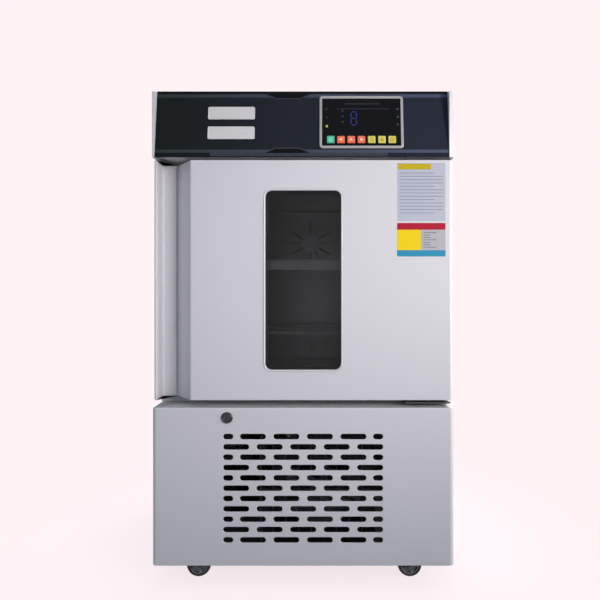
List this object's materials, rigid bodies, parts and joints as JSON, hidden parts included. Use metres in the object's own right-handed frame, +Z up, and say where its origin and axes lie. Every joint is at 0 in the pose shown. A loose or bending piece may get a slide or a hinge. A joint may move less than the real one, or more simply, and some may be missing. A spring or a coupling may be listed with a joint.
{
  "type": "biochemical incubator",
  "caption": "Upright cooled incubator on casters: glazed insulated door with a grip channel, shelved steel chamber, sloping control head and vented machine compartment.",
  "frame": {"origin": "centre of the footprint on the floor under the wheels", "axes": "+Z up, the door faces -Y, +X to the right as seen from the front"},
  "size_m": [0.6, 0.576, 0.995],
  "materials": {
    "white_paint": "satin powder coat",
    "stainless": "fine brushed",
    "aluminium": "mill finish",
    "zinc": "zinc plated",
    "black_gloss": "gloss",
    "black_plastic": "matte",
    "grey_plastic": "matte",
    "white_plastic": "satin",
    "foam": "closed-cell foam",
    "rubber": "soft matte",
    "tinted_glass": "clear, dark tint",
    "silver": "silver lacquer",
    "teal": "soft matte",
    "orange": "soft matte",
    "yellow": "soft matte"
  },
  "bodies": {
    "cabinet": {"lower_shell": "white_paint", "deck": "white_paint", "base_plate": "zinc", "rear_grille": "white_paint", "rear_panel": "white_paint", "compressor": "black_plastic", "condenser": "aluminium", "fan_shroud": "black_plastic", "lock_body": "zinc", "power_inlet": "black_plastic", "chamber_shell": "white_paint", "insulation": "foam", "liner": "stainless", "front_frame": "grey_plastic", "shelf_upper": "stainless", "shelf_lower": "stainless", "shelf_support_left": "stainless", "shelf_support_right": "stainless", "duct_cover": "stainless", "fan_motor": "zinc", "evaporator": "aluminium", "sensor_probe": "stainless", "hinge_upper": "zinc", "hinge_lower": "zinc", "head_shell": "white_paint", "fascia": "black_gloss", "display_bezel": "silver", "display_panel": "black_gloss", "label_plate_upper": "silver", "label_plate_lower": "silver", "controller_case": "grey_plastic"},
    "door": {"door_skin": "white_paint", "grip_channel": "white_paint", "door_core": "foam", "door_inner_panel": "white_plastic", "window_frame": "white_plastic", "outer_glass": "tinted_glass", "inner_glass": "tinted_glass", "gasket": "rubber", "bush_upper": "grey_plastic", "bush_lower": "grey_plastic"},
    "lock_plug": {"lock_plug": "zinc"},
    "condenser_fan": {"condenser_fan": "grey_plastic"},
    "circulation_fan": {"circulation_fan": "aluminium"},
    "key_1": {"key_1": "teal"},
    "key_2": {"key_2": "orange"},
    "key_3": {"key_3": "orange"},
    "key_4": {"key_4": "orange"},
    "key_5": {"key_5": "yellow"},
    "key_6": {"key_6": "yellow"},
    "key_7": {"key_7": "yellow"},
    "front_left_fork": {"front_left_fork": "zinc"},
    "front_right_fork": {"front_right_fork": "zinc"},
    "rear_left_fork": {"rear_left_fork": "zinc"},
    "rear_right_fork": {"rear_right_fork": "zinc"},
    "front_left_wheel": {"front_left_wheel": "black_plastic"},
    "front_right_wheel": {"front_right_wheel": "black_plastic"},
    "rear_left_wheel": {"rear_left_wheel": "black_plastic"},
    "rear_right_wheel": {"rear_right_wheel": "black_plastic"}
  },
  "joints": [
    {"name": "door_hinge", "type": "hinge", "parent": "cabinet", "child": "door", "pos_m": [0.283, -0.257, 0.375], "axis": [0, 0, 1], "range_deg": [0, 110]},
    {"name": "lock_turn", "type": "hinge", "parent": "cabinet", "child": "lock_plug", "pos_m": [-0.151, -0.285, 0.3405], "axis": [0, 1, 0], "range_deg": [0, 90]},
    {"name": "condenser_fan_spin", "type": "hinge", "parent": "cabinet", "child": "condenser_fan", "pos_m": [0.04, -0.208, 0.1768], "axis": [0, 1, 0], "continuous": true},
    {"name": "circulation_fan_spin", "type": "hinge", "parent": "cabinet", "child": "circulation_fan", "pos_m": [0, 0.1785, 0.728], "axis": [0, 1, 0], "continuous": true},
    {"name": "key_1_press", "type": "slide", "parent": "cabinet", "child": "key_1", "axis": [0, 0.9905, -0.1374], "range_m": [0, 0.0008], "stiffness_N_per_m": 800},
    {"name": "key_2_press", "type": "slide", "parent": "cabinet", "child": "key_2", "axis": [0, 0.9905, -0.1374], "range_m": [0, 0.0008], "stiffness_N_per_m": 800},
    {"name": "key_3_press", "type": "slide", "parent": "cabinet", "child": "key_3", "axis": [0, 0.9905, -0.1374], "range_m": [0, 0.0008], "stiffness_N_per_m": 800},
    {"name": "key_4_press", "type": "slide", "parent": "cabinet", "child": "key_4", "axis": [0, 0.9905, -0.1374], "range_m": [0, 0.0008], "stiffness_N_per_m": 800},
    {"name": "key_5_press", "type": "slide", "parent": "cabinet", "child": "key_5", "axis": [0, 0.9905, -0.1374], "range_m": [0, 0.0008], "stiffness_N_per_m": 800},
    {"name": "key_6_press", "type": "slide", "parent": "cabinet", "child": "key_6", "axis": [0, 0.9905, -0.1374], "range_m": [0, 0.0008], "stiffness_N_per_m": 800},
    {"name": "key_7_press", "type": "slide", "parent": "cabinet", "child": "key_7", "axis": [0, 0.9905, -0.1374], "range_m": [0, 0.0008], "stiffness_N_per_m": 800},
    {"name": "front_left_swivel", "type": "hinge", "parent": "cabinet", "child": "front_left_fork", "pos_m": [-0.241, -0.23, 0.058], "axis": [0, 0, 1], "continuous": true},
    {"name": "front_right_swivel", "type": "hinge", "parent": "cabinet", "child": "front_right_fork", "pos_m": [0.241, -0.23, 0.058], "axis": [0, 0, 1], "continuous": true},
    {"name": "rear_left_swivel", "type": "hinge", "parent": "cabinet", "child": "rear_left_fork", "pos_m": [-0.241, 0.231, 0.058], "axis": [0, 0, 1], "continuous": true},
    {"name": "rear_right_swivel", "type": "hinge", "parent": "cabinet", "child": "rear_right_fork", "pos_m": [0.241, 0.231, 0.058], "axis": [0, 0, 1], "continuous": true},
    {"name": "front_left_roll", "type": "hinge", "parent": "front_left_fork", "child": "front_left_wheel", "pos_m": [-0.219, -0.23, 0.025], "axis": [0, 1, 0], "continuous": true},
    {"name": "front_right_roll", "type": "hinge", "parent": "front_right_fork", "child": "front_right_wheel", "pos_m": [0.219, -0.23, 0.025], "axis": [0, 1, 0], "continuous": true},
    {"name": "rear_left_roll", "type": "hinge", "parent": "rear_left_fork", "child": "rear_left_wheel", "pos_m": [-0.219, 0.231, 0.025], "axis": [0, 1, 0], "continuous": true},
    {"name": "rear_right_roll", "type": "hinge", "parent": "rear_right_fork", "child": "rear_right_wheel", "pos_m": [0.219, 0.231, 0.025], "axis": [0, 1, 0], "continuous": true}
  ]
}
